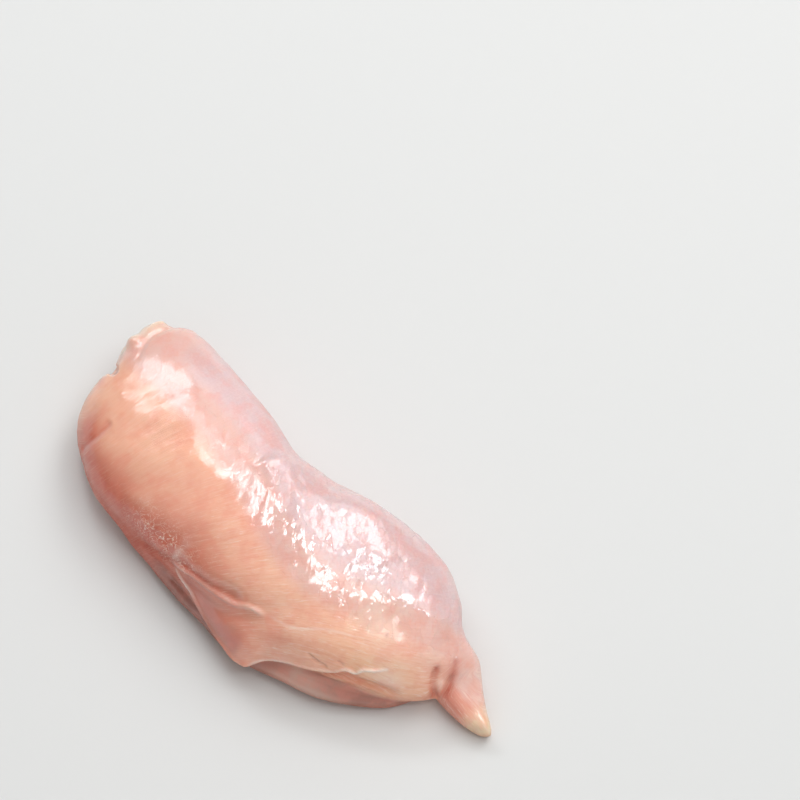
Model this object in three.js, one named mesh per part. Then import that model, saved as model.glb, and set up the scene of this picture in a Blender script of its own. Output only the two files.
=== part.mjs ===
// A raw boneless chicken breast lying on its flat side, smooth side up.
// Millimetres, +Z up. Modelled with the blunt end at x = 0 and the tail tip at
// x = 185, then moved so that the origin is the middle of its footprint.
// -Y is the front, where the edge folds over the tenderloin.
import * as THREE from "three";

const ROUND = 60; // vertices round the girth
const RINGS = 84; // vertices from end to end

// A smooth curve through [x, value] stations, read at x.
function along(x, stations) {
  const n = stations.length;
  const at = Math.min(Math.max(x, stations[0][0]), stations[n - 1][0]);
  let i = 0;
  while (i < n - 2 && at > stations[i + 1][0]) i += 1;
  const slope = (k) => {
    const a = stations[Math.max(k - 1, 0)];
    const b = stations[Math.min(k + 1, n - 1)];
    return (b[1] - a[1]) / (b[0] - a[0]);
  };
  const [x0, y0] = stations[i];
  const [x1, y1] = stations[i + 1];
  const h = x1 - x0;
  const t = (at - x0) / h;
  return (
    y0 * (1 + 2 * t) * (1 - t) ** 2 +
    slope(i) * h * t * (1 - t) ** 2 +
    y1 * t * t * (3 - 2 * t) +
    slope(i + 1) * h * t * t * (t - 1)
  );
}

function step(x, a, b) {
  const t = Math.min(Math.max((x - a) / (b - a), 0), 1);
  return t * t * (3 - 2 * t);
}

// The union of two distances with a fillet of about k.
function join(a, b, k) {
  const h = Math.min(Math.max(0.5 + (0.5 * (b - a)) / k, 0), 1);
  return b + (a - b) * h - k * h * (1 - h);
}

// What is left of distance a once the body of distance b is cut away.
function cut(a, b, k) {
  return -join(-a, b, k);
}

// A muscle that runs along x. Its section is a rounded quadrant to each side
// of the ridge line, above and below the mid line; both ends are rounded off.
// square makes the quadrants behind the ridge fuller.
function muscle(x, y, z, m) {
  const s = Math.min(Math.max(x, m.start), m.end);
  const ridge = along(s, m.ridge);
  const mid = along(s, m.mid);
  const half = y < ridge ? ridge - along(s, m.front) : along(s, m.back) - ridge;
  const rise = z < mid ? mid - along(s, m.base) : along(s, m.top) - mid;
  let cap = m.startCap;
  let e = 0;
  if (x < m.start + m.startCap) e = (m.start + m.startCap - x) / m.startCap;
  else if (x > m.end - m.endCap) {
    cap = m.endCap;
    e = (x - m.end + m.endCap) / m.endCap;
  }
  const a = Math.abs(y - ridge) / half;
  const b = Math.abs(z - mid) / rise;
  const p = m.power + (m.square ?? 0) * step(y - ridge, 0, 16);
  const q = (a ** p + b ** p + e ** p) ** (1 / p) + 1e-6;
  const steep = Math.hypot(
    (a / q) ** (p - 1) / half,
    (b / q) ** (p - 1) / rise,
    (e / q) ** (p - 1) / cap,
  );
  return Math.min(Math.max((q - 1) / Math.max(steep, 0.02), -20), 60);
}

// An egg shape turned about z.
function egg(x, y, z, centre, radii, turn) {
  const c = Math.cos(turn);
  const s = Math.sin(turn);
  const dx = x - centre[0];
  const dy = y - centre[1];
  const u = (c * dx + s * dy) / radii[0];
  const v = (c * dy - s * dx) / radii[1];
  const w = (z - centre[2]) / radii[2];
  const q = Math.hypot(u, v, w) + 1e-9;
  const steep = Math.hypot(u / radii[0], v / radii[1], w / radii[2]) / q;
  return (q - 1) / Math.max(steep, 1e-3);
}

// A round bar from a to b.
function rod(x, y, z, a, b, radius) {
  const d = [b[0] - a[0], b[1] - a[1], b[2] - a[2]];
  const e = [x - a[0], y - a[1], z - a[2]];
  const t = Math.min(Math.max((d[0] * e[0] + d[1] * e[1] + d[2] * e[2]) / (d[0] ** 2 + d[1] ** 2 + d[2] ** 2), 0), 1);
  return Math.hypot(e[0] - t * d[0], e[1] - t * d[1], e[2] - t * d[2]) - radius;
}

// The large breast muscle.
const BREAST = {
  start: 0, end: 167, startCap: 8, endCap: 9, power: 2.2, square: 0.6,
  front: [[0, 7.6], [2.2, -5.6], [6.8, -15], [19.8, -25.4], [35, -30.4], [55, -31.6], [80, -31],
    [105, -29], [120, -25], [133, -19.5], [150, -12.6], [158, -6.4], [167, 1.4]],
  back: [[0, 22], [4, 27.8], [8, 31.8], [14, 35.2], [30, 34.4], [50, 32.1], [70, 27.8], [80, 27.1],
    [92, 30], [105, 33.2], [120, 35.5], [130, 35.1], [140, 33.5], [148, 28.8], [154, 22.6],
    [160, 18.8], [167, 15.6]],
  top: [[0, 24], [12, 31], [35, 37], [75, 39], [105, 38], [130, 32.5], [150, 25.5], [160, 19], [167, 14]],
  mid: [[0, 14], [30, 15], [80, 16], [120, 15], [150, 12], [167, 8]],
  base: [[0, 3], [20, -1.5], [80, -2], [140, -2], [167, 0]],
  ridge: [[0, 18], [20, 8], [60, 3], [100, 3], [130, 6], [150, 9], [167, 10]],
};

// The narrow tail the muscle runs out into.
const TAIL = {
  start: 130, end: 185, startCap: 8, endCap: 3.5, power: 2.1,
  front: [[130, 6], [150, 4], [160, 1.4], [168, 0.6], [176, 0.8], [181, 2], [185, 3.4]],
  back: [[130, 29], [150, 23.6], [157, 20.8], [162, 20.4], [166, 19.4], [170, 16.6], [175, 12.2],
    [180, 8.6], [185, 6.2]],
  top: [[130, 30], [150, 24.5], [160, 19], [168, 14], [176, 10], [185, 7.5]],
  mid: [[130, 9], [160, 6.5], [185, 3.5]],
  base: [[130, -1], [185, -1]],
  ridge: [[130, 18], [150, 15], [162, 12.5], [170, 9], [178, 6.5], [185, 5]],
};

// The tenderloin, under the front edge.
const TENDERLOIN = {
  start: 30, end: 159.5, startCap: 10, endCap: 6, power: 2.1,
  front: [[30, -22], [44, -28.4], [52, -31.6], [62, -34], [72, -34.9], [86, -35.4], [98, -36.2],
    [109, -34.9], [121, -31.2], [132, -27.6], [143, -22], [152, -14.6], [158, -6.4], [163, 0.5]],
  back: [[30, -10], [100, -10], [130, -6], [150, 4], [163, 10]],
  top: [[30, 8], [60, 13], [80, 15], [105, 15.5], [130, 14], [150, 11], [163, 8]],
  mid: [[30, 5], [100, 7], [163, 5]],
  base: [[30, -0.9], [163, -0.9]],
  ridge: [[30, -17], [100, -22], [130, -17], [150, -7], [163, 2]],
};

// The edge of the membrane, folded over the tenderloin and pinched to a corner.
const FLAP = {
  start: 46, end: 156, startCap: 8, endCap: 12, power: 1.7,
  front: [[46, -28], [60, -31], [70, -31.8], [80, -33], [90, -34.6], [98, -36], [104, -37],
    [108.5, -37], [111.5, -35.6], [114.5, -32.4], [124, -25.8], [135, -18.6], [144, -10.5], [156, 1]],
  back: [[46, -6], [156, 14]],
  top: [[46, 24], [70, 25], [90, 27.5], [110, 30], [130, 28], [156, 21]],
  mid: [[46, 12], [80, 12.5], [98, 12], [108, 11.5], [116, 14], [125, 16.5], [140, 17], [156, 15]],
  base: [[46, 8], [98, 9.5], [108, 9], [120, 12], [156, 11]],
  ridge: [[46, -14], [108, -14], [124, -10], [156, 8]],
};

// The back edge, tucked under.
const TUCK = {
  start: 14, end: 144, startCap: 16, endCap: 16, power: 2,
  front: [[14, 10], [144, 8]],
  back: [[14, 29], [40, 33.6], [70, 29.6], [92, 31], [115, 35], [130, 33.6], [144, 28]],
  top: [[14, 8], [40, 12.5], [80, 14], [110, 12.5], [144, 7]],
  mid: [[14, 4.5], [80, 6], [144, 4]],
  base: [[14, -0.7], [144, -0.7]],
  ridge: [[14, 20], [70, 20], [115, 25], [144, 19]],
};

// Signed distance to the whole piece: below zero is meat.
function meat(x, y, z) {
  let f = join(muscle(x, y, z, BREAST), muscle(x, y, z, FLAP), 0.8 + 6 * step(x, 99, 124));
  f = join(f, muscle(x, y, z, TAIL), 0.8 + 7 * step(y + z, 14, 32));
  f = join(f, egg(x, y, z, [160.3, 5.6, 11], [6, 2.5, 6], -0.75), 0.8); // pad by the tail
  f = join(f, muscle(x, y, z, TENDERLOIN), 0.6 + 9 * (1 - step(x, 44, 78)));
  f = join(f, muscle(x, y, z, TUCK), 1.6);
  f = join(f, egg(x, y, z, [5.4, 23.8, 19.5], [5.6, 6.6, 8], 0.5), 2.5); // knob at the blunt end
  f = cut(f, (x - 0.4) * 0.86 - (y - 12) * 0.18 - (z - 27) * 0.48, 4); // face trimmed flat
  f = join(f, egg(x, y, z, [4.5, 16.5, 22.4], [3.2, 3.4, 6], 0), 3); // smaller knob
  f = cut(f, rod(x, y, z, [-0.6, 1, 43], [-15.6, 10, 3], 12), 1.2); // shallow scoop beside it
  f = cut(f, rod(x, y, z, [8.4, 3.5, 30], [3.9, 8.1, 14.5], 1.9), 0.6); // notch at its end
  return f;
}

// Lines pressed into or raised out of the surface: height, half width, points.
const LINES = [
  { name: "crease over the flap", height: -1.3, width: 2.8,
    points: [[54, -31.6, 16.8], [68.4, -30.4, 22.9], [80.7, -28.4, 26.2], [95, -25.6, 28.7], [101, -24, 29.4]] },
  { name: "rim of the flap", height: 0.8, width: 2.6,
    points: [[66, -31.4, 19.6], [83.7, -29.2, 23.8], [96.9, -27, 26], [107.4, -24, 28]] },
  { name: "membrane edge", height: 0.7, width: 2,
    points: [[74, -31.2, 18.5], [80.5, -32.2, 16.4], [90.9, -34.7, 14.6], [102.8, -36.6, 13.4], [110.4, -36, 12]] },
  { name: "fold over the tenderloin", height: 0.8, width: 2.2,
    points: [[110.4, -36, 12], [120.9, -28, 18], [131.5, -22, 19.4], [141, -15, 21.2], [147, -9, 23], [153.7, 0.9, 22.7]] },
  { name: "gap under the fold", height: -1.2, width: 2.2,
    points: [[116, -32, 11.5], [124.6, -26.4, 13.8], [133, -21.5, 15.5], [142, -16.5, 17], [151, -11.5, 16]] },
  { name: "groove before the pad", height: -1, width: 1.9,
    points: [[164, 0, 8], [161, 2.2, 15.5], [158.5, 6.5, 19.8]] },
  { name: "groove before the tail", height: -0.9, width: 1.9,
    points: [[166.2, 2.6, 10], [165.1, 5.6, 14.4], [162.9, 9.7, 16.9], [160.3, 13.4, 19.6]] },
  { name: "swell across the back", height: 0.8, width: 5,
    points: [[72, 10, 38], [79, 22, 34], [82, 31, 24]] },
  { name: "dip beside the swell", height: -0.9, width: 6,
    points: [[84, 14, 37], [91, 24, 33], [93, 33, 22]] },
];

function reach(p, a, b) {
  const d = [b[0] - a[0], b[1] - a[1], b[2] - a[2]];
  const e = [p[0] - a[0], p[1] - a[1], p[2] - a[2]];
  const t = Math.min(Math.max((d[0] * e[0] + d[1] * e[1] + d[2] * e[2]) / (d[0] ** 2 + d[1] ** 2 + d[2] ** 2), 0), 1);
  return [Math.hypot(e[0] - t * d[0], e[1] - t * d[1], e[2] - t * d[2]), t];
}

// How far the surface stands out at a point: the lines, and a slow unevenness.
function relief(p) {
  let out = 0;
  for (const line of LINES) {
    const n = line.points.length - 1;
    let best = Infinity;
    let where = 0;
    for (let i = 0; i < n; i += 1) {
      const [d, t] = reach(p, line.points[i], line.points[i + 1]);
      if (d < best) {
        best = d;
        where = (i + t) / n;
      }
    }
    const fade = step(where, 0, 0.12) * (1 - step(where, 0.88, 1));
    out += line.height * fade * Math.exp(-((best / line.width) ** 2));
  }
  const [x, y, z] = p;
  const uneven =
    0.45 * Math.sin(x / 9.5 + y / 14) * Math.sin(y / 8 - z / 11 + 1.3) +
    0.3 * Math.sin(x / 5.2 - y / 7 + 0.6) * Math.sin(z / 6 + y / 6.5);
  return out + uneven * step(z, 1, 6);
}

// The line inside the meat that every vertex is cast out from.
const SPINE = {
  y: [[14, 8], [50, 1], [95, -1], [125, 2], [145, 6], [160, 9], [181, 5]],
  z: [[14, 15], [60, 17], [110, 15.5], [140, 12], [160, 7.5], [181, 4]],
};

function cast(share, turn) {
  // near the two ends the rays tip over towards the tip
  const tipStart = Math.max(1 - share / 0.13, 0);
  const tipEnd = Math.max(1 - (1 - share) / 0.075, 0);
  const x = 14 + 167 * Math.min(Math.max((share - 0.06) / 0.9, 0), 1);
  const tilt = (Math.PI / 2) * (tipEnd ** 0.9 - tipStart ** 0.9);
  const from = [x, along(x, SPINE.y), along(x, SPINE.z)];
  const d = [Math.sin(tilt), Math.cos(tilt) * Math.cos(turn), Math.cos(tilt) * Math.sin(turn)];
  let near = 0;
  let far = 60;
  for (let i = 0; i < 26; i += 1) {
    const r = (near + far) / 2;
    if (meat(from[0] + r * d[0], from[1] + r * d[1], from[2] + r * d[2]) < 0) near = r;
    else far = r;
  }
  const hit = from.map((v, i) => v + near * d[i]);
  const r = near + relief(hit);
  const p = from.map((v, i) => v + r * d[i]);
  if (p[2] < 0) {
    const cutAt = from[2] / (from[2] - p[2]);
    return from.map((v, i) => v + (p[i] - v) * cutAt);
  }
  return p;
}

// A sphere's mesh, pole to pole along x, with every vertex cast out to the meat.
const form = new THREE.SphereGeometry(1, ROUND, RINGS);
const position = form.attributes.position;
const uv = form.attributes.uv;
for (let i = 0; i < position.count; i += 1) {
  const share = 1 - uv.getY(i);
  const u = uv.getX(i) % 1;
  // more vertices on the folded front than on the back and the underside
  const turn = -Math.PI * (2 * u + 0.15 * Math.sin(Math.PI * 2 * u) + 0.1);
  const pole = share === 0 || share === 1 ? 0 : turn;
  position.setXYZ(i, ...cast(share, pole));
}
form.computeVertexNormals();

form.computeBoundingBox();
const box = form.boundingBox;
form.translate(-(box.min.x + box.max.x) / 2, -(box.min.y + box.max.y) / 2, -box.min.z);

const breast = new THREE.Mesh(form, new THREE.MeshStandardMaterial({ color: 0xeab7a4, roughness: 0.4 }));
breast.name = "chicken_breast";

const group = new THREE.Group();
group.add(breast);
export default group;
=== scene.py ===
"""A raw boneless chicken breast on a pale floor, in Blender."""

import math

import bpy
import numpy as np
from mathutils import Matrix, Vector

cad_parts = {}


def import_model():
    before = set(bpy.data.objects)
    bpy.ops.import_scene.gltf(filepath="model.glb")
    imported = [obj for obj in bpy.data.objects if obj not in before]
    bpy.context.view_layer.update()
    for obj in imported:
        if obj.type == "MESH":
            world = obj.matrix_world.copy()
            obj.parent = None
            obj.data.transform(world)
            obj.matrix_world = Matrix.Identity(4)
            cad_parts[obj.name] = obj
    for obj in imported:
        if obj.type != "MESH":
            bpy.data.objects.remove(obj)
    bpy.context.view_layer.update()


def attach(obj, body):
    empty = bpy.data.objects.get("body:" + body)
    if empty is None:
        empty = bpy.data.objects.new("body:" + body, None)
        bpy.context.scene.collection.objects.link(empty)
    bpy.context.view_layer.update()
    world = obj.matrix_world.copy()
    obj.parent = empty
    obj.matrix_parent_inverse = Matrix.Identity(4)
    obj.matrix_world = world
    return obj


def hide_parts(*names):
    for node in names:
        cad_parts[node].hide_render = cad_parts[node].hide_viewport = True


NODE = "chicken_breast"
PIECE = "breast_meat"
MIDDLE = (92.291, -1.191)  # of the footprint, in the modelling coordinates below, mm
MM_IN_METRE = 1000
HALF_LENGTH = 92.5  # mm, of the modelling coordinates
# the camera of the photo, in degrees, metres and mm
AZIMUTH, ELEVATION, DISTANCE = 44, 68, 0.945
AIM = (-0.0146, 0.0723, 0)
LENS, SENSOR = 120, 36
# grid spacing, mm: (from, to, step) along each axis, finest over the folded front
GRID = (
    ((-2.5, 8, 0.56), (8, 62, 0.74), (62, 188, 0.58)),
    ((-40.5, -6, 0.52), (-6, 39, 0.74)),
    ((-1.1, 42, 0.57),),
)

# ---------------------------------------------------------------- the form
# Modelling coordinates are millimetres: x = 0 at the blunt end, 185 at the tail
# tip, -y the folded front edge, z = 0 the surface it lies on.


def along(x, stations):
    """A smooth curve through (x, value) stations, read at x."""
    xs, ys = np.array(stations, float).T
    slope = np.empty_like(ys)
    slope[1:-1] = (ys[2:] - ys[:-2]) / (xs[2:] - xs[:-2])
    slope[0] = (ys[1] - ys[0]) / (xs[1] - xs[0])
    slope[-1] = (ys[-1] - ys[-2]) / (xs[-1] - xs[-2])
    x = np.clip(x, xs[0], xs[-1])
    i = np.clip(np.searchsorted(xs, x) - 1, 0, len(xs) - 2)
    h = xs[i + 1] - xs[i]
    t = (x - xs[i]) / h
    return (
        ys[i] * (1 + 2 * t) * (1 - t) ** 2
        + slope[i] * h * t * (1 - t) ** 2
        + ys[i + 1] * t * t * (3 - 2 * t)
        + slope[i + 1] * h * t * t * (t - 1)
    )


def srgb(*c):
    """A colour of 0 to 255 as the shaders take it."""
    return tuple((v / 255) ** 2.2 for v in c)


def step(x, a, b):
    """0 at a, 1 at b, with a smooth run between."""
    t = np.clip((x - a) / (b - a), 0, 1)
    return t * t * (3 - 2 * t)


def join(a, b, k):
    """The union of two distances with a fillet of about k."""
    h = np.clip(0.5 + 0.5 * (b - a) / k, 0, 1)
    return b + (a - b) * h - k * h * (1 - h)


def cut(a, b, k):
    """What is left of a with b taken away, its new edge rounded by about k."""
    return -join(-a, b, k)


def muscle(x, y, z, m):
    """A muscle that runs along x, rounded off at both ends.

    Its section is a rounded quadrant to each side of the ridge line, above and
    below the mid line. square makes the quadrants behind the ridge fuller.
    """
    s = np.clip(x, m["start"], m["end"])
    front, back, top, base, mid, ridge = (
        along(s, m[k]) for k in ("front", "back", "top", "base", "mid", "ridge")
    )
    cap0, cap1 = m["start_cap"], m["end_cap"]
    p = m["power"] + m.get("square", 0) * step(y - ridge, 0, 16)
    half = np.where(y < ridge, ridge - front, back - ridge)
    rise = np.where(z < mid, mid - base, top - mid)
    first = x < m["start"] + cap0
    e = np.where(first, (m["start"] + cap0 - x) / cap0, np.maximum((x - m["end"] + cap1) / cap1, 0))
    a, b = np.abs(y - ridge) / half, np.abs(z - mid) / rise
    q = (a**p + b**p + e**p) ** (1 / p) + 1e-6
    steep = np.sqrt(
        ((a / q) ** (p - 1) / half) ** 2
        + ((b / q) ** (p - 1) / rise) ** 2
        + ((e / q) ** (p - 1) / np.where(first, cap0, cap1)) ** 2
    )
    return np.clip((q - 1) / np.maximum(steep, 0.02), -20, 60)


def egg(x, y, z, centre, radii, turn):
    """An ellipsoid turned about z."""
    c, s = math.cos(turn), math.sin(turn)
    dx, dy = x - centre[0], y - centre[1]
    u, v = (c * dx + s * dy) / radii[0], (c * dy - s * dx) / radii[1]
    w = (z - centre[2]) / radii[2]
    q = np.sqrt(u * u + v * v + w * w) + 1e-9
    steep = np.sqrt((u / radii[0]) ** 2 + (v / radii[1]) ** 2 + (w / radii[2]) ** 2) / q
    return (q - 1) / np.maximum(steep, 1e-3)


def rod(x, y, z, a, b, radius):
    """A round bar from a to b."""
    a, d = np.array(a, float), np.subtract(b, a)
    t = np.clip(((x - a[0]) * d[0] + (y - a[1]) * d[1] + (z - a[2]) * d[2]) / (d @ d), 0, 1)
    away = [c - a[i] - t * d[i] for i, c in enumerate((x, y, z))]
    return np.sqrt(away[0] ** 2 + away[1] ** 2 + away[2] ** 2) - radius


BREAST = dict(
    start=0, end=167, start_cap=8, end_cap=9, power=2.2, square=0.6,
    front=[(0, 7.6), (2.2, -5.6), (6.8, -15), (19.8, -25.4), (35, -30.4), (55, -31.6), (80, -31),
           (105, -29), (120, -25), (133, -19.5), (150, -12.6), (158, -6.4), (167, 1.4)],
    back=[(0, 22), (4, 27.8), (8, 31.8), (14, 35.2), (30, 34.4), (50, 32.1), (70, 27.8), (80, 27.1),
          (92, 30), (105, 33.2), (120, 35.5), (130, 35.1), (140, 33.5), (148, 28.8), (154, 22.6),
          (160, 18.8), (167, 15.6)],
    top=[(0, 24), (12, 31), (35, 37), (75, 39), (105, 38), (130, 32.5), (150, 25.5), (160, 19),
         (167, 14)],
    mid=[(0, 14), (30, 15), (80, 16), (120, 15), (150, 12), (167, 8)],
    base=[(0, 3), (20, -1.5), (80, -2), (140, -2), (167, 0)],
    ridge=[(0, 18), (20, 8), (60, 3), (100, 3), (130, 6), (150, 9), (167, 10)],
)
TAIL = dict(
    start=130, end=185, start_cap=8, end_cap=3.5, power=2.1,
    front=[(130, 6), (150, 4), (160, 1.4), (168, 0.6), (176, 0.8), (181, 2), (185, 3.4)],
    back=[(130, 29), (150, 23.6), (157, 20.8), (162, 20.4), (166, 19.4), (170, 16.6), (175, 12.2),
          (180, 8.6), (185, 6.2)],
    top=[(130, 30), (150, 24.5), (160, 19), (168, 14), (176, 10), (185, 7.5)],
    mid=[(130, 9), (160, 6.5), (185, 3.5)],
    base=[(130, -1), (185, -1)],
    ridge=[(130, 18), (150, 15), (162, 12.5), (170, 9), (178, 6.5), (185, 5)],
)
TENDERLOIN = dict(
    start=30, end=159.5, start_cap=10, end_cap=6, power=2.1,
    front=[(30, -22), (44, -28.4), (52, -31.6), (62, -34), (72, -34.9), (86, -35.4), (98, -36.2),
           (109, -34.9), (121, -31.2), (132, -27.6), (143, -22), (152, -14.6), (158, -6.4), (163, 0.5)],
    back=[(30, -10), (100, -10), (130, -6), (150, 4), (163, 10)],
    top=[(30, 8), (60, 13), (80, 15), (105, 15.5), (130, 14), (150, 11), (163, 8)],
    mid=[(30, 5), (100, 7), (163, 5)],
    base=[(30, -0.9), (163, -0.9)],
    ridge=[(30, -17), (100, -22), (130, -17), (150, -7), (163, 2)],
)
FLAP = dict(
    start=46, end=156, start_cap=8, end_cap=12, power=1.7,
    front=[(46, -28), (60, -31), (70, -31.8), (80, -33), (90, -34.6), (98, -36), (104, -37),
           (108.5, -37), (111.5, -35.6), (114.5, -32.4), (124, -25.8), (135, -18.6), (144, -10.5), (156, 1)],
    back=[(46, -6), (156, 14)],
    top=[(46, 24), (70, 25), (90, 27.5), (110, 30), (130, 28), (156, 21)],
    mid=[(46, 12), (80, 12.5), (98, 12), (108, 11.5), (116, 14), (125, 16.5), (140, 17), (156, 15)],
    base=[(46, 8), (98, 9.5), (108, 9), (120, 12), (156, 11)],
    ridge=[(46, -14), (108, -14), (124, -10), (156, 8)],
)
TUCK = dict(
    start=14, end=144, start_cap=16, end_cap=16, power=2,
    front=[(14, 10), (144, 8)],
    back=[(14, 29), (40, 33.6), (70, 29.6), (92, 31), (115, 35), (130, 33.6), (144, 28)],
    top=[(14, 8), (40, 12.5), (80, 14), (110, 12.5), (144, 7)],
    mid=[(14, 4.5), (80, 6), (144, 4)],
    base=[(14, -0.7), (144, -0.7)],
    ridge=[(14, 20), (70, 20), (115, 25), (144, 19)],
)


def meat(x, y, z):
    """Signed distance to the whole piece: below zero is meat."""
    f = join(muscle(x, y, z, BREAST), muscle(x, y, z, FLAP), 0.8 + 6 * step(x, 99, 124))
    f = join(f, muscle(x, y, z, TAIL), 0.8 + 7 * step(y + z, 14, 32))
    f = join(f, egg(x, y, z, (160.3, 5.6, 11), (6, 2.5, 6), -0.75), 0.8)
    f = join(f, muscle(x, y, z, TENDERLOIN), 0.6 + 9 * (1 - step(x, 44, 78)))
    f = join(f, muscle(x, y, z, TUCK), 1.6)
    f = join(f, egg(x, y, z, (5.4, 23.8, 19.5), (5.6, 6.6, 8), 0.5), 2.5)
    f = cut(f, (x - 0.4) * 0.86 - (y - 12) * 0.18 - (z - 27) * 0.48, 4)
    f = join(f, egg(x, y, z, (4.5, 16.5, 22.4), (3.2, 3.4, 6), 0), 3)
    f = cut(f, rod(x, y, z, (-0.6, 1, 43), (-15.6, 10, 3), 12), 1.2)
    f = cut(f, rod(x, y, z, (6.6, 3.2, 29.9), (0.65, 6.8, 13.3), 2.2), 0.6)
    return np.maximum(f, -z)


def surface_net(f, axes):
    """Vertices and quads of f = 0: one vertex in each crossed cell, one quad round each crossed edge."""
    inside = f < 0
    shape = np.array(f.shape) - 1
    corners = [(i, j, k) for i in (0, 1) for j in (0, 1) for k in (0, 1)]
    count = sum(
        inside[tuple(slice(o, o + n) for o, n in zip(c, shape))].astype(np.int8) for c in corners
    )
    cells = np.argwhere((count > 0) & (count < 8))
    index = np.full(shape, -1, np.int64)
    index[tuple(cells.T)] = np.arange(len(cells))
    value = {c: f[tuple((cells + c).T)] for c in corners}
    total, n = np.zeros((len(cells), 3)), np.zeros(len(cells))
    for a in corners:
        for d in range(3):
            if a[d]:
                continue
            b = tuple(v + (i == d) for i, v in enumerate(a))
            hit = (value[a] < 0) != (value[b] < 0)
            t = np.where(hit, value[a] / np.where(hit, value[a] - value[b], 1), 0)
            p = np.tile(np.array(a, float), (len(cells), 1))
            p[:, d] += t
            total[hit] += p[hit]
            n[hit] += 1
    at = cells + total / n[:, None]
    verts = np.stack([np.interp(at[:, d], np.arange(len(axes[d])), axes[d]) for d in range(3)], 1)
    quads = []
    for d in range(3):
        e, g = (d + 1) % 3, (d + 2) % 3
        low, high = [slice(None)] * 3, [slice(None)] * 3
        low[d], high[d] = slice(0, -1), slice(1, None)
        low[e] = high[e] = slice(1, -1)
        low[g] = high[g] = slice(1, -1)
        a, b = inside[tuple(low)], inside[tuple(high)]
        at = np.argwhere(a != b)
        flip = a[tuple(at.T)]
        at[:, e] += 1
        at[:, g] += 1
        ring = []
        for oe, og in ((0, 0), (-1, 0), (-1, -1), (0, -1)):
            c = at.copy()
            c[:, e] += oe
            c[:, g] += og
            ring.append(index[tuple(c.T)])
        q = np.stack(ring, 1)
        quads.append(np.where(flip[:, None], q, q[:, ::-1]))
    return verts, np.concatenate(quads)


def gradient(v):
    """How fast the distance to the meat grows along each axis."""
    h = 0.03
    g = np.empty_like(v)
    for d in range(3):
        o = np.zeros(3)
        o[d] = h
        g[:, d] = (meat(*(v + o).T) - meat(*(v - o).T)) / (2 * h)
    return g


def settled(v, most):
    """The vertices moved onto the true surface."""
    for _ in range(2):
        g = gradient(v)
        move = -g * (meat(*v.T) / np.maximum((g**2).sum(1), 0.05))[:, None]
        length = np.linalg.norm(move, axis=1, keepdims=True)
        v = v + move * np.minimum(1, most / np.maximum(length, 1e-9))
    return v


# ---------------------------------------------------------------- relief

CREASE = [(52.3, -31.6, 16.4), (60.2, -31.4, 19.3), (68.4, -30.4, 22.6), (74.4, -28.9, 25.5),
          (80.7, -28.5, 25.9), (91, -26.7, 27.8), (95, -25.9, 28.3), (99.5, -25, 28.8)]
RIM = [(68, -30.4, 22.2), (78.1, -29.3, 24.5), (83.7, -28.7, 25.3), (92.9, -27.3, 26.7),
       (96.9, -26.5, 27.2), (101.8, -24.1, 29.2), (108.5, -22.8, 29.5)]
EDGE = [(71, -30.4, 22.4), (75.9, -31.3, 17.2), (80.2, -31.9, 16.2), (85.4, -33.2, 15), (90.3, -34.4, 14),
        (95.8, -35.5, 12.9), (102.3, -36.6, 12.6), (108.1, -37, 12.2), (111, -35.9, 12.6)]
FOLD = [(111, -35.9, 12.6), (114.3, -32.4, 15.6), (120.9, -27.6, 18.6), (125.6, -25.1, 18.9),
        (131.6, -21.6, 19.6), (135.3, -19.2, 20.1), (138.1, -16.3, 22), (141.2, -14.8, 21.1),
        (142.7, -12.5, 22.6), (145.8, -9.9, 22.7), (149, -6.1, 23.1)]
GAP = [(113, -33.6, 12.2), (118.3, -29.6, 14), (124.3, -26.3, 15.2), (129.9, -22.6, 15.6), (137, -18.4, 18),
       (144.4, -14.8, 16.9), (151.6, -11.2, 16.2), (157, -7.9, 14)]
SEAM = [(122, -28.6, 12.4), (130, -24.8, 12), (136, -22, 11.2), (142.4, -18.7, 10.4),
        (149, -15, 9.6), (156, -9.5, 9.5)]
PAD_GROOVE = [(164, 0, 8), (163, 0.6, 12), (162.1, 1, 15.2), (160.1, 3.5, 18.3), (158, 7.4, 20.4)]
TAIL_GROOVE = [(166.2, 2.6, 9), (165.1, 5.6, 14.4), (162.9, 9.7, 16.9), (160.3, 13.4, 19.6)]
SLITS = [[(125.6, -21.6, 24.9), (129.9, -20.7, 22.8), (133.2, -19.7, 21.3)],
         [(134.5, -16.4, 24.5), (137.2, -16, 23.2)]]
LEFT_FOLD = [(17.8, -23.2, 19.9), (20.3, -17.9, 27.9), (21.4, -10.3, 31.7), (24, -1.6, 34.4),
             (28.2, 7.7, 35.8)]
THREAD = [(107.2, -22.5, 29.7), (117.6, -19.3, 30.1), (125.2, -12.9, 31.1), (135.6, -6.5, 29.6)]
TAG = [(3.9, -0.2, 23.6), (4.8, 0.9, 25.2), (5.8, 2, 26.6)]
CROSS_FOLD = [(71.1, 8.9, 38.6), (71.4, 12.4, 38.1), (73.2, 16.7, 37.1), (74.5, 21.4, 34.2)]
# the wet line along the ridge: (x, y), mm
GLEAM = [(7.3, 8.8), (15.3, 1.7), (30.7, 6.3), (42.6, 10), (52.2, 7.7), (61.5, 8.1), (68.3, 6.5), (77.9, 5.4)]
HEAD_LIP = [(9.6, 29.6, 26), (8, 24.9, 27.9), (7.4, 20.7, 28), (9.3, 15.2, 29.7), (11.7, 10.6, 30.9)]

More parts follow.
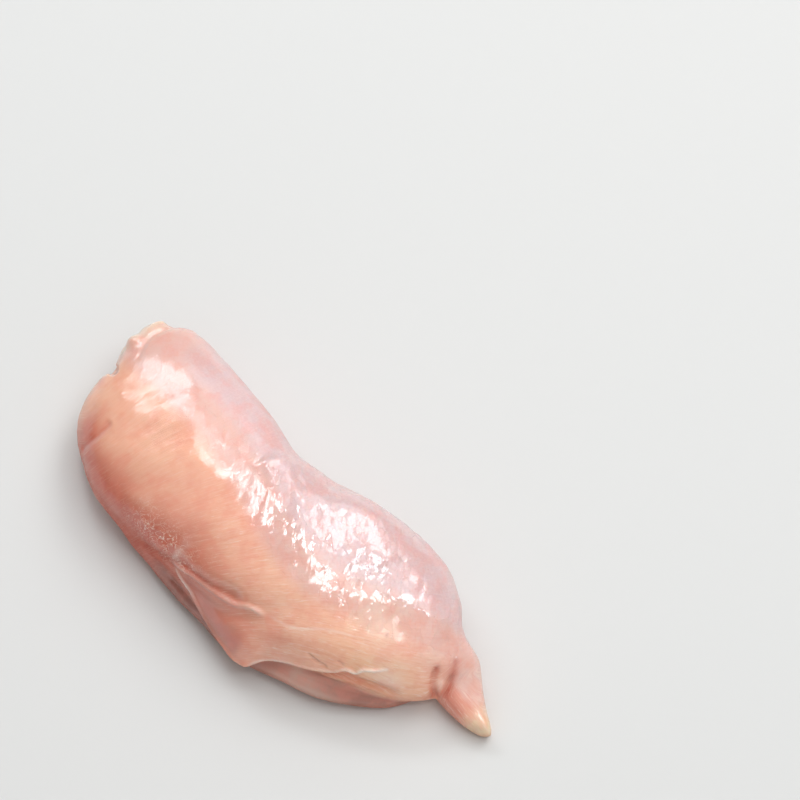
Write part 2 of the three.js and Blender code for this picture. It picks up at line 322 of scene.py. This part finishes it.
# (height, half width, line), mm: minus is pressed in
RELIEF = [
    (-0.7, 2.4, CREASE),
    (0.9, 0.9, RIM),
    (0.8, 0.65, EDGE),
    (0.8, 0.6, FOLD),
    (-1.2, 2.0, GAP),
    (-0.35, 1.0, SEAM),
    (-1.0, 1.0, PAD_GROOVE),
    (-0.9, 1.0, TAIL_GROOVE),
    (-0.7, 0.55, SLITS[0]),
    (-0.5, 0.5, SLITS[1]),
    (-0.5, 0.9, HEAD_LIP),
    (-0.45, 1.5, LEFT_FOLD[:3]),
    (-0.3, 2.4, LEFT_FOLD),
    (0.45, 1.7, CROSS_FOLD),
    (1.0, 0.75, TAG),
    (0.8, 5, [(72, 10, 38), (79, 22, 34), (82, 31, 24)]),
    (-0.9, 6, [(84, 14, 37), (91, 24, 33), (93, 33, 22)]),
]


LINE_REACH, FAR = 14, 1e9  # mm: how far off a line it is still felt, and the distance beyond that


def smooth_line(points):
    """The line through the points, with rounded corners."""
    per = 5  # steps from one point to the next
    p = np.array(points, float)
    if len(p) < 3:
        return p
    q = np.vstack([2 * p[0] - p[1], p, 2 * p[-1] - p[-2]])
    out = []
    for i in range(1, len(q) - 2):
        for t in np.arange(per) / per:
            out.append(
                0.5 * (2 * q[i] + (q[i + 1] - q[i - 1]) * t
                       + (2 * q[i - 1] - 5 * q[i] + 4 * q[i + 1] - q[i + 2]) * t**2
                       + (3 * q[i] - q[i - 1] - 3 * q[i + 1] + q[i + 2]) * t**3)
            )
    return np.vstack([out, p[-1]])


def line_distance(v, points):
    """Distance from each vertex to the line, and how far along the line that is, 0 to 1."""
    p = smooth_line(points)
    best, where = np.full(len(v), FAR), np.zeros(len(v))
    near = np.flatnonzero(((v > p.min(0) - LINE_REACH) & (v < p.max(0) + LINE_REACH)).all(1))
    w = v[near]
    length = np.r_[0, np.cumsum(np.linalg.norm(np.diff(p, axis=0), axis=1))]
    b, s = np.full(len(w), FAR), np.zeros(len(w))
    for i, (a, c) in enumerate(zip(p[:-1], p[1:])):
        t = np.clip((w - a) @ (c - a) / ((c - a) @ (c - a)), 0, 1)
        d = np.linalg.norm(w - a - t[:, None] * (c - a), axis=1)
        closer = d < b
        b[closer] = d[closer]
        s[closer] = (length[i] + t[closer] * (length[i + 1] - length[i])) / length[-1]
    best[near], where[near] = b, s
    return best, where


def band(v, points, width, fade=0.12):
    """1 on the line, falling to 0 over its half width and towards its ends."""
    d, where = line_distance(v, points)
    return np.exp(-((d / width) ** 2)) * step(where, 0, fade) * (1 - step(where, 1 - fade, 1))


def spot(v, centre, radii):
    """1 at the centre, falling to 0 over the radii."""
    return np.exp(-(((v - centre) / radii) ** 2).sum(1))


HASH = (73856093, 19349663, 83492791)  # large primes that scatter the corners of the noise


def lattice(p, seed):
    """Smooth noise of unit scale, -1 to 1, the same on every run."""
    i = np.floor(p).astype(np.int64)
    f = p - i
    f = f * f * f * (f * (f * 6 - 15) + 10)
    out = np.zeros(len(p))
    for dx in (0, 1):
        for dy in (0, 1):
            for dz in (0, 1):
                corner = [(i[:, axis] + d) * HASH[axis] for axis, d in enumerate((dx, dy, dz))]
                n = corner[0] ^ corner[1] ^ corner[2]
                n = (n + seed * 7919) & 0x7FFFFFFF
                n = (n * 1103515245 + 12345) & 0x7FFFFFFF
                n = ((n >> 8) * 69069 + 1) & 0x7FFFFFFF
                h = (n >> 7) % 20001 / 10000 - 1
                w = (
                    (f[:, 0] if dx else 1 - f[:, 0])
                    * (f[:, 1] if dy else 1 - f[:, 1])
                    * (f[:, 2] if dz else 1 - f[:, 2])
                )
                out += w * h
    return out


# The muscle fibres run in shallow arcs. They are laid out on an inclined plane:
# u to the right along it, w down it, both in mm from the same corner.
ARC = [(0, -0.42), (14, -0.38), (24, -0.25), (41, -0.13), (58, -0.07), (75, 0), (92, 0.05), (140, 0.06)]
SPREAD = [(0, 0.0058), (41, 0.0058), (58, 0.0075), (75, 0.010), (92, 0.0148), (102, 0.012),
          (109, 0.006), (126, 0)]


def inclined(v):
    """(right, down, towards) on the inclined plane, mm, from the corner that takes in the whole piece."""
    x, y, z = (v - (HALF_LENGTH, 0, 0)).T
    right = 0.719 * x + 0.695 * y + 68.8
    down = 0.644 * x - 0.667 * y - 0.3745 * z + 91.5
    return right, down, 0.26 * x - 0.27 * y + 0.927 * z


def fibre_coordinates(v):
    """(across, along, depth) of the muscle fibres in mm, on the breast, the tail and the tenderloin."""
    right, down, towards = inclined(v)
    at = np.linspace(0, 145, 581)
    middle = np.concatenate([[0], np.cumsum(along(at[:-1] + 0.125, ARC) * 0.25)])
    middle += 98.5 - np.interp(92, at, middle)
    wide = np.exp(np.concatenate([[0], np.cumsum(along(at[:-1] + 0.125, SPREAD) * 0.25)]))
    wide /= np.interp(75, at, wide)
    across = (down - np.interp(right, at, middle)) / np.interp(right, at, wide)
    arcs = np.stack([across, right, towards * 0.3], 1)
    tail = np.stack([v[:, 1] + v[:, 0] * 0.24 + v[:, 2] * 0.5, v[:, 0] - v[:, 1] * 0.24, v[:, 2] * 0.2], 1)
    under = np.stack([v[:, 2] * 1.1 + v[:, 1] * 0.5, v[:, 0], v[:, 1] * 0.2], 1)
    return arcs, tail, under


# ---------------------------------------------------------------- the mesh

# where the silvery membrane begins: (x, y), mm
MEMBRANE = [(0, 14), (20, 13), (45, 11), (70, 6), (90, -1), (110, -4), (130, 2), (160, 14), (185, 14)]
FLAP_MIDDLE = [(74, -30.5, 20), (86, -31.5, 18), (98, -33, 17), (108, -33, 17)]
LOIN_SHINE = [(112, -33.5, 9), (124, -29.5, 8.5), (136, -24.5, 7.5), (146, -19, 7)]
PAD = (162.9, 3.4, 15.9)  # small pad of flesh at the root of the tail


class Places:
    """Where on the piece each vertex is: shares of about 0 to 1, and coordinates in mm."""

    def __init__(self, v):
        self.x, self.y, self.z = x, y, z = v.T
        self.right, self.down, self.towards = inclined(v)
        breast = np.minimum(muscle(x, y, z, BREAST), muscle(x, y, z, FLAP))
        own = np.minimum(breast, muscle(x, y, z, TAIL))
        self.loin = step(own - muscle(x, y, z, TENDERLOIN), -0.3, 1.2) * step(x, 60, 80)
        self.tail = step(x, 161, 168) * (1 - self.loin)
        self.head = np.maximum(spot(v, (3, 26, 24), (5, 8, 8)), 0.9 * spot(v, (1.5, 15, 22), (4.5, 7, 8)))
        self.curls = spot(v, (63, -27.5, 27), (15, 6, 8)) + 0.6 * spot(v, (30, -27, 14), (14, 6, 8))

        # the silvery membrane: over the ridge and the back flank, and thinly on the folded flap
        line = along(x, MEMBRANE)
        self.skin = step(y, line - 9, line - 2) * (1 - step(x, 160, 172))
        self.flap = band(v, FLAP_MIDDLE, 5)
        film = step(y, line - 3, line + 12) * step(x, 2, 34) * (1 - step(x, 158, 170))
        self.film = np.maximum(film, self.flap * 0.12)
        # where it has come away in flakes, and where the fibres show
        self.loose = self.skin * (0.15 + 0.85 * step(self.right, 58, 72))
        bare = (1 - np.clip(self.flap * 1.6, 0, 1)) * (1 - self.loin) * (1 - 0.65 * self.skin)
        self.bare = bare * (0.5 + 0.7 * step(self.right, 30, 75))

        arcs, lengthwise, under = fibre_coordinates(v)
        self.fibre = arcs * (1 - self.tail - self.loin)[:, None]
        self.fibre = self.fibre + lengthwise * self.tail[:, None] + under * self.loin[:, None]
        # wrinkles of the membrane run steeply, a little off square to the ridge
        across = 0.966 * self.right + 0.259 * self.down
        lengthways = 0.259 * self.right - 0.966 * self.down
        self.wrinkle = np.stack([across, lengthways, self.towards], 1)
        self.lumps = lattice(v / 5.5, 5) + 0.5 * lattice(v / 2.7 + 3.1, 6)


def raised(v, at):
    """How far the surface stands out at each vertex, mm."""
    x, y, z = at.x, at.y, at.z
    out = np.zeros(len(v))
    for height, width, points in RELIEF:
        out += height * band(v, points, width)
    out -= 1.1 * spot(v, (94, -25, 29), (5, 2.5, 3))  # the crease is deepest where it ends
    out += 0.7 * spot(v, (110.6, -36.4, 12.6), (1.6, 1.6, 1.6))  # the pinched corner
    out += 0.5 * spot(v, PAD, (2.2, 2.4, 2.6))
    # the same slow unevenness as the solid has
    out += 0.45 * np.sin(x / 9.5 + y / 14) * np.sin(y / 8 - z / 11 + 1.3)
    out += 0.3 * np.sin(x / 5.2 - y / 7 + 0.6) * np.sin(z / 6 + y / 6.5)

    bundles = lattice(at.fibre / (2.4, 24, 9), 1)
    folds = lattice(at.wrinkle / (2.1, 7, 9), 3) + 0.5 * lattice(at.wrinkle / (1.4, 4.5, 5) + 7.3, 4)
    out += 0.05 * bundles * (1 - 0.6 * at.skin) + 0.06 * folds * at.skin
    out += at.lumps * (0.25 * at.curls + 0.35 * at.head + 0.08)
    return out * step(z, 0.6, 4)  # nothing moves where it lies on the floor


def wetness(v, n, at):
    """Share of the wet gloss on each vertex."""
    x, y, right = at.x, at.y, at.right
    wet = 0.12 + 0.88 * step(n[:, 2], 0, 0.6)  # the sides that face down have drained
    for points, width in ((GAP, 2.2), (CREASE, 2), (PAD_GROOVE, 1.4), (TAIL_GROOVE, 1.4)):
        wet *= 1 - 0.8 * band(v, points, width)
    wet *= 1 - 0.75 * spot(v, (50, 8, 38), (8, 7, 5)) - 0.2 * spot(v, (60, 4, 38.5), (5, 5, 4))
    wet *= 1 - 0.85 * spot(v, (141, 3, 29), (6, 6, 5))
    # behind the wet line along the ridge the membrane is only damp, as far as the flakes
    comb = 1.6 * lattice(at.wrinkle / (1.7, 7, 9), 12)
    damp = step(y - along(x, GLEAM) + comb, 0.3, 2.6) * step(x, 33, 41) * (1 - step(right, 68, 77))
    wet *= 1 - 0.72 * damp * (1 - 0.9 * band(v, CROSS_FOLD, 3.5))
    return wet


TONES = dict(
    flesh=(240, 172, 144), ruddy=(200, 88, 64), peach=(246, 188, 156), lilac=(214, 182, 182),
    amber=(250, 192, 146), cream=(236, 208, 170), deep=(150, 50, 36), milk=(250, 232, 220),
    beige=(240, 206, 180), rose=(234, 156, 134), dusk=(150, 88, 72), pale=(248, 210, 190),
)


def painted(v, at):
    """Colour of each vertex: tones laid over each other by place, the first at the bottom."""
    x, y, z = at.x, at.y, at.z
    tail, loin, flap = at.tail, at.loin, at.flap
    slow = lattice(v / 22, 7) + 0.5 * lattice(v / 11 + 5, 8)
    patchy = np.clip(lattice(v / 8 + 2, 9), -1, 1)
    front = step(-y, 9, 27) * step(x, 4, 16) * (1 - step(x, 92, 112)) * (1 - flap)
    layers = [
        # paler and peachier on top: painted light
        ("peach", step(z, 22, 36) * 0.6),
        ("rose", np.clip(slow, 0, 1) * 0.45),
        ("peach", np.clip(-slow, 0, 1) * 0.45),
        # redder and darker towards the front edge and low on the front side: partly the flesh's own redness,
        # partly painted shade where the sides turn from the light
        ("ruddy", front * (0.42 + 0.3 * patchy)),
        ("ruddy", 0.95 * step(-y, 17, 28) * (1 - step(z, 15, 27)) * (1 - step(x, 84, 100)) * (1 - flap)),
        ("ruddy", 0.85 * step(-y, 13, 25) * (1 - step(z, 25, 32)) * (1 - step(x, 58, 76))),
        # a red patch by the left edge, and painted shade along the left fold
        ("ruddy", 0.85 * spot(v, (15.5, -17, 25), (5, 6, 7)) + 0.35 * band(v, LEFT_FOLD[:3], 2)),
        # painted shade over the crease, where the muscle bends down into it, and in the crease itself
        ("ruddy", 0.6 * spot(v, (60, -28, 26), (14, 6, 6))),
        ("ruddy", 0.25 * spot(v, (80, -27, 28), (15, 6, 5)) + 0.3 * spot(v, (94, -24, 30), (7, 5, 4))),
        ("ruddy", 0.4 * band(v, CREASE, 3.2)),
        # the flap: redder and darker, partly painted shade, most of all towards its lower edge; and the
        # membrane over the ridge
        ("dusk", flap * (0.2 + 0.25 * step(-y, 31.5, 35))),
        ("ruddy", flap * 0.8),
        ("lilac", np.maximum(at.film * 0.9, at.skin * 0.5)),
        # more golden towards the tail, the lower lobe's own tone; the peach and pale patches are painted
        # light on places that turn from the light, and a pale painted sheen by the tail
        ("amber", 0.95 * spot(v, (150, -8.5, 19), (16, 9, 7)) + 0.35 * spot(v, (136, -8, 27), (18, 12, 7))),
        ("peach", 0.6 * spot(v, (108, -16, 33), (12, 6, 7)) + 0.5 * spot(v, (91, -23, 31), (7, 4, 4))),
        ("pale", 0.8 * spot(v, (151, -8.6, 19.5), (8, 5, 5))),
        ("pale", 0.6 * spot(v, (140, 2, 28), (14, 9, 8)) + 0.5 * spot(v, (158, 8, 20), (7, 8, 6))),
        # the tail, down to its creamy tip: redder on its front side, partly its own colour and partly painted
        # shade, and paler and lilac on its back side, a painted highlight
        ("rose", tail * 0.7 * (1 - step(x, 172, 180))),
        ("ruddy", tail * 0.35 * (1 - step(y, 2.5, 6)) * (1 - step(x, 170, 178))),
        ("lilac", tail * step(y, 5, 9) * 0.55),
        ("pale", tail * step(y, 5, 9) * 0.45),
        ("cream", step(x, 173, 181) * 0.9),
        # painted shade under the flap; the tenderloin darker, most of all low down, partly painted shade; a
        # painted sheen along the tenderloin
        ("dusk", 0.75 * step(x, 58, 68) * (1 - step(x, 90, 104)) * (1 - step(z, 11, 17)) * step(-y, 27, 32)),
        ("dusk", loin * (0.85 - 0.25 * step(z, 9, 14))),
        ("pale", loin * band(v, LOIN_SHINE, 2.6, 0.4) * 0.5),
        # connective tissue at the blunt end, in the curls and along the folds, and a painted shadow line
        # beside the lower part of the white edge
        ("beige", 1.3 * at.head),
        ("milk", at.curls * np.clip(at.lumps - 0.25, 0, 1) * 0.7),
        ("deep", 0.35 * band(v - (1.2, 1.6, 1), EDGE, 1.1) * step(x, 92, 102)),
        ("milk", 0.9 * band(v, EDGE, 0.7) + 0.9 * band(v, FOLD, 0.65, 0.02) + 0.45 * band(v, RIM, 0.9)),
        ("milk", 0.8 * band(v, TAG, 1.0)),
        # painted shade in the slits, gaps and grooves
        ("deep", 0.15 * band(v, GAP, 1.3) + 0.25 * band(v, CREASE, 2.2) + 0.7 * band(v, SLITS[0], 0.5, 0.3)),
        ("deep", 0.6 * band(v, SLITS[1], 0.45, 0.3) + 0.15 * band(v, SEAM, 0.9)),
        ("ruddy", 0.6 * band(v, PAD_GROOVE, 1.8) + 0.6 * band(v, TAIL_GROOVE, 2.2)
         + 0.45 * band(v, GAP, 2.6)),
        ("deep", 0.4 * band(v, PAD_GROOVE, 0.7) + 0.4 * band(v, TAIL_GROOVE, 0.8)),
        # a paler patch just below the gap
        ("pale", 0.5 * spot(v, (126, -26, 12.6), (10, 4, 3))),
        # the pad paler, partly a painted highlight on its bulge
        ("pale", 0.8 * spot(v, PAD, (1.8, 2, 2.4))),
        ("milk", 0.3 * band(v, THREAD, 0.5)),
        ("deep", spot(v, (141.2, 0.6, 29), (0.5, 0.5, 0.8))),  # a fleck
        # redder and darker within a few mm of the floor: painted shade
        ("ruddy", 0.3 * (1 - step(z, 1, 7))),
    ]
    colour = np.tile(srgb(*TONES["flesh"]), (len(v), 1))
    for name, share in layers:
        m = np.clip(share, 0, 1)[:, None]
        colour = colour * (1 - m) + np.array(srgb(*TONES[name])) * m
    return colour


def breast():
    """The visual piece, with the colours and shares that its material reads on each vertex."""
    axes = [np.concatenate([np.arange(*part) for part in axis]) for axis in GRID]
    v, quads = surface_net(meat(*np.meshgrid(*axes, indexing="ij", sparse=True)), axes)
    v = settled(v, 0.3)
    n = gradient(v)
    n /= np.linalg.norm(n, axis=1, keepdims=True)
    at = Places(v)
    v = v + n * raised(v, at)[:, None]
    v[:, 2] = np.maximum(v[:, 2], 0)

    mesh = bpy.data.meshes.new(PIECE)
    mesh.from_pydata(((v - (*MIDDLE, 0)) / MM_IN_METRE).tolist(), [], quads.tolist())
    mesh.shade_smooth()
    colour = np.c_[painted(v, at), np.ones(len(v))]
    shares = dict(
        film=at.film, skin=at.skin, loose=at.loose, bare=at.bare, calm=1 - 0.85 * at.loose,
        curls=np.clip(at.curls, 0, 1) * (0.3 + 0.7 * step(at.x, 38, 52)), wet=wetness(v, n, at),
    )
    for kind, field, layers in (
        ("FLOAT_COLOR", "color", dict(tone=colour)),
        ("FLOAT_VECTOR", "vector", dict(fibre=at.fibre, wrinkle=at.wrinkle)),
        ("FLOAT", "value", shares),
    ):
        for name, data in layers.items():
            layer = mesh.attributes.new(name, kind, "POINT")
            layer.data.foreach_set(field, data.astype(np.float32).ravel())
    obj = bpy.data.objects.new(PIECE, mesh)
    bpy.context.scene.collection.objects.link(obj)
    return obj


# ---------------------------------------------------------------- materials


LIMITS = ("From Min", "From Max", "To Min", "To Max")


class Nodes:
    """Short names for the few node kinds the materials use."""

    def __init__(self, name):
        self.material = bpy.data.materials.new(name)
        self.material.use_nodes = True
        self.tree = self.material.node_tree
        self.shader = self.tree.nodes["Principled BSDF"]

    def add(self, kind, **settings):
        node = self.tree.nodes.new(kind)
        for key, value in settings.items():
            setattr(node, key, value)
        return node

    def wire(self, source, target):
        self.tree.links.new(source, target)

    def attribute(self, name, output="Fac"):
        return self.add("ShaderNodeAttribute", attribute_name=name).outputs[output]

    def stretch(self, vector, scale, offset=(0, 0, 0)):
        node = self.add("ShaderNodeMapping")
        node.inputs["Scale"].default_value = scale
        node.inputs["Location"].default_value = offset
        self.wire(vector, node.inputs["Vector"])
        return node.outputs[0]

    def noise(self, vector, scale, detail, roughness, distortion=0.0):
        node = self.add("ShaderNodeTexNoise")
        self.wire(vector, node.inputs["Vector"])
        node.inputs["Scale"].default_value = scale
        node.inputs["Detail"].default_value = detail
        node.inputs["Roughness"].default_value = roughness
        node.inputs["Distortion"].default_value = distortion
        return node.outputs["Fac"]

    def remap(self, value, *limits):
        """value from limits[0] to limits[1], as limits[2] to limits[3]."""
        node = self.add("ShaderNodeMapRange", interpolation_type="SMOOTHSTEP")
        self.wire(value, node.inputs["Value"])
        for key, number in zip(LIMITS, limits):
            node.inputs[key].default_value = number
        return node.outputs["Result"]

    def math(self, operation, a, b):
        node = self.add("ShaderNodeMath", operation=operation)
        for socket, value in zip(node.inputs, (a, b)):
            if isinstance(value, (int, float)):
                socket.default_value = value
            else:
                self.wire(value, socket)
        return node.outputs[0]

    def mix(self, factor, a, b):
        node = self.add("ShaderNodeMix", data_type="RGBA")
        for socket, value in zip((node.inputs[0], node.inputs[6], node.inputs[7]), (factor, a, b)):
            if isinstance(value, (int, float)):
                socket.default_value = value
            elif isinstance(value, tuple):
                socket.default_value = (*value, 1)
            else:
                self.wire(value, socket)
        return node.outputs[2]

    def facets(self, vector):
        """Height of flat cells, each with a lean of its own."""
        cells = self.add("ShaderNodeTexVoronoi", feature="F1")
        self.wire(vector, cells.inputs["Vector"])
        cells.inputs["Scale"].default_value = 1.0
        offset = self.add("ShaderNodeVectorMath", operation="SUBTRACT")
        self.wire(vector, offset.inputs[0])
        self.wire(cells.outputs["Position"], offset.inputs[1])
        lean = self.add("ShaderNodeVectorMath", operation="SUBTRACT")
        self.wire(cells.outputs["Color"], lean.inputs[0])
        lean.inputs[1].default_value = (0.5, 0.5, 0.5)
        height = self.add("ShaderNodeVectorMath", operation="DOT_PRODUCT")
        self.wire(offset.outputs[0], height.inputs[0])
        self.wire(lean.outputs[0], height.inputs[1])
        return height.outputs["Value"]

    def bump(self, height, depth, below=None):
        """Relief of the given depth in mm, over the relief below."""
        node = self.add("ShaderNodeBump")
        node.inputs["Strength"].default_value = 1.0
        node.inputs["Distance"].default_value = depth / MM_IN_METRE
        self.wire(height, node.inputs["Height"])
        if below is not None:
            self.wire(below, node.inputs["Normal"])
        return node.outputs[0]


# colours laid over the painted tones
TINTS = dict(
    streak=(252, 214, 190), grain_line=(216, 116, 90), hair=(253, 226, 206), blotch=(232, 134, 112),
    fleck=(252, 220, 202), veil=(244, 222, 224), thread=(252, 222, 204),
)
# depth of the fine relief, mm
DEPTH = dict(strands=0.06, threads=0.03, grain=0.02, folds=0.04, flakes=0.9, small_flakes=0.2)


def meat_material():
    n = Nodes("raw_meat")
    s = n.shader
    tint = {name: srgb(*c) for name, c in TINTS.items()}
    fibre = n.attribute("fibre", "Vector")
    wrinkle = n.attribute("wrinkle", "Vector")
    film = n.attribute("film")
    skin = n.attribute("skin")
    loose = n.attribute("loose")
    bare = n.attribute("bare")
    mm = n.stretch(n.add("ShaderNodeTexCoord").outputs["Object"], (MM_IN_METRE,) * 3)

    strands = n.noise(n.stretch(fibre, (1.55, 0.14, 0.2)), 1.0, 3.0, 0.62, 0.8)
    threads = n.noise(n.stretch(fibre, (2.3, 0.2, 0.3), (11, 4, 2)), 1.0, 2.0, 0.5, 0.8)
    grain = n.noise(mm, 1.3, 4.0, 0.6)
    mottle = n.noise(mm, 0.16, 3.0, 0.55)

    colour = n.attribute("tone", "Color")
    pale = n.math("MULTIPLY", n.remap(strands, 0.51, 0.67, 0.0, 0.24), bare)
    colour = n.mix(pale, colour, tint["streak"])
    dark = n.math("MULTIPLY", n.remap(strands, 0.49, 0.34, 0.0, 0.17), bare)
    colour = n.mix(dark, colour, tint["grain_line"])
    hair = n.math("MULTIPLY", n.remap(threads, 0.58, 0.68, 0.0, 0.3), bare)
    colour = n.mix(hair, colour, tint["hair"])
    colour = n.mix(n.remap(mottle, 0.42, 0.66, 0.0, 0.28), colour, tint["blotch"])
    colour = n.mix(n.remap(grain, 0.6, 0.8, 0.0, 0.14), colour, tint["fleck"])

    # the membrane: thin folds, and flat flakes that each catch the light or do not
    warp = n.noise(wrinkle, 0.35, 2.0, 0.5)
    bent = n.add("ShaderNodeVectorMath", operation="MULTIPLY_ADD")
    n.wire(warp, bent.inputs[0])
    bent.inputs[1].default_value = (1.2, 1.4, 0)
    n.wire(wrinkle, bent.inputs[2])
    broad = n.facets(n.stretch(bent.outputs[0], (0.19, 0.13, 0.1)))
    small = n.facets(n.stretch(bent.outputs[0], (0.62, 0.36, 0.3)))
    wide = n.math("MULTIPLY", broad, loose)
    fine = n.math("MULTIPLY", small, loose)
    thin = n.noise(n.stretch(wrinkle, (0.85, 0.14, 0.2), (3, 1, 0)), 1.0, 2.0, 0.5, 0.5)
    thin = n.math("MULTIPLY", thin, skin)
    veil = n.math("MULTIPLY", film, n.remap(grain, 0.38, 0.62, 0.04, 0.16))
    colour = n.mix(veil, colour, tint["veil"])

    # pale curled threads on the open flesh by the fold
    squiggle = n.noise(mm, 0.5, 1.0, 0.4, 1.2)
    line = n.remap(n.math("ABSOLUTE", n.math("SUBTRACT", squiggle, 0.5), 0.0), 0.035, 0.0, 0.0, 1.0)
    colour = n.mix(n.math("MULTIPLY", line, n.attribute("curls")), colour, tint["thread"])
    n.wire(colour, s.inputs["Base Color"])

    damp = n.noise(mm, 0.09, 3.0, 0.5)
    n.wire(n.remap(damp, 0.35, 0.65, 0.45, 0.6), s.inputs["Roughness"])

    calm = n.attribute("calm")
    low = n.bump(n.math("MULTIPLY", strands, calm), DEPTH["strands"])
    low = n.bump(n.math("MULTIPLY", threads, calm), DEPTH["threads"], low)
    low = n.bump(n.math("MULTIPLY", grain, calm), DEPTH["grain"], low)
    low = n.bump(thin, DEPTH["folds"], low)
    low = n.bump(wide, DEPTH["flakes"], low)
    top = n.bump(fine, DEPTH["small_flakes"], low)
    n.wire(top, s.inputs["Normal"])
    n.wire(top, s.inputs["Coat Normal"])

    s.inputs["IOR"].default_value = 1.5
    s.inputs["Specular IOR Level"].default_value = 0.25
    s.inputs["Subsurface Weight"].default_value = 0.35
    s.inputs["Subsurface Radius"].default_value = (1.0, 0.42, 0.26)
    s.inputs["Subsurface Scale"].default_value = 0.003
    n.wire(n.attribute("wet"), s.inputs["Coat Weight"])
    s.inputs["Coat Roughness"].default_value = 0.05
    s.inputs["Coat IOR"].default_value = 1.8
    return n.material


def floor_material():
    n = Nodes("pale_floor")
    n.shader.inputs["Base Color"].default_value = (*srgb(214, 212, 208), 1)
    n.shader.inputs["Roughness"].default_value = 0.7
    return n.material


# ---------------------------------------------------------------- the scene


def stage():
    mesh = bpy.data.meshes.new("floor")
    reach = 6.0
    corners = [(-reach, -reach, 0), (reach, -reach, 0), (reach, reach, 0), (-reach, reach, 0)]
    mesh.from_pydata(corners, [], [(0, 1, 2, 3)])
    mesh.materials.append(floor_material())
    floor = bpy.data.objects.new("floor", mesh)
    bpy.context.scene.collection.objects.link(floor)


RIGHT, UP = Vector((0.719, 0.695, 0)), Vector((-0.644, 0.667, 0.3745))  # across and up the picture
AWAY = 2.0  # metres from the middle to each panel
# towards (right, up) of the picture, width and height in metres, glow, colour
PANELS = dict(
    # a wide window behind, brightest along its near edges, which give the gleam along the ridge
    window=((0.35, 0.72), (1.6, 2.4), 1.5, (0.97, 0.98, 1)),
    window_pane=((0.42, 0.70), (0.62, 1.1), 3.6, (0.92, 0.96, 1)),
    near_edge=((-0.01, 0.63), (0.14, 0.95), 12.5, (0.9, 0.95, 1)),
    low_edge=((0.25, 0.26), (1.1, 0.22), 7.0, (0.9, 0.95, 1)),
    far_end=((-0.34, 0.86), (1.15, 0.24), 11.0, (0.88, 0.94, 1)),
)
SKY_SIDE = (0.63, -0.30, 0.72)  # where the sky is brightest
SKY = (0.1, 1.0, 0.15, 0.6)  # from and to along that direction, strength there


def soft_box(name, towards, size, glow, colour):
    """An even panel that the wet surface mirrors where it leans that way."""
    light = bpy.data.lights.new(name, "AREA")
    light.shape = "RECTANGLE"
    light.size, light.size_y = size
    light.energy = glow * math.pi * size[0] * size[1]
    light.color = colour
    obj = bpy.data.objects.new(name, light)
    right, up = towards
    back = math.sqrt(1 - right * right - up * up)
    axis = (RIGHT * right + UP * up + RIGHT.cross(UP) * back).normalized()
    obj.location = axis * AWAY
    over = axis.cross(RIGHT).normalized()
    obj.rotation_euler = Matrix((over.cross(axis), over, axis)).transposed().to_euler()
    bpy.context.scene.collection.objects.link(obj)


def lights():
    for name, panel in PANELS.items():
        soft_box(name, *panel)
    world = bpy.data.worlds.new("studio")
    world.use_nodes = True
    nodes, links = world.node_tree.nodes, world.node_tree.links
    nodes["Background"].inputs["Color"].default_value = (1, 1, 1, 1)
    # brighter on one side, without an edge that the wet surface would mirror
    side = nodes.new("ShaderNodeVectorMath")
    side.operation = "DOT_PRODUCT"
    links.new(nodes.new("ShaderNodeTexCoord").outputs["Generated"], side.inputs[0])
    side.inputs[1].default_value = SKY_SIDE
    level = nodes.new("ShaderNodeMapRange")
    level.interpolation_type = "SMOOTHSTEP"
    links.new(side.outputs["Value"], level.inputs["Value"])
    for key, number in zip(LIMITS, SKY):
        level.inputs[key].default_value = number
    links.new(level.outputs["Result"], nodes["Background"].inputs["Strength"])
    bpy.context.scene.world = world


def camera():
    azimuth, elevation = math.radians(AZIMUTH), math.radians(ELEVATION)
    target = Vector(AIM) + Vector((HALF_LENGTH - MIDDLE[0], -MIDDLE[1], 0)) / MM_IN_METRE
    back = Vector((
        math.sin(azimuth) * math.cos(elevation),
        -math.cos(azimuth) * math.cos(elevation),
        math.sin(elevation),
    ))
    right = Vector((math.cos(azimuth), math.sin(azimuth), 0))
    up = back.cross(right)
    data = bpy.data.cameras.new("photo")
    data.lens, data.sensor_width = LENS, SENSOR
    obj = bpy.data.objects.new("photo", data)
    obj.location = target + back * DISTANCE
    obj.rotation_euler = Matrix((right, up, back)).transposed().to_euler()
    bpy.context.scene.collection.objects.link(obj)
    bpy.context.scene.camera = obj


def main():
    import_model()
    meat_obj = breast()
    meat_obj.data.materials.append(meat_material())
    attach(meat_obj, "root")
    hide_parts(NODE)
    stage()
    lights()
    camera()
    bpy.context.scene.view_settings.view_transform = "Standard"


main()
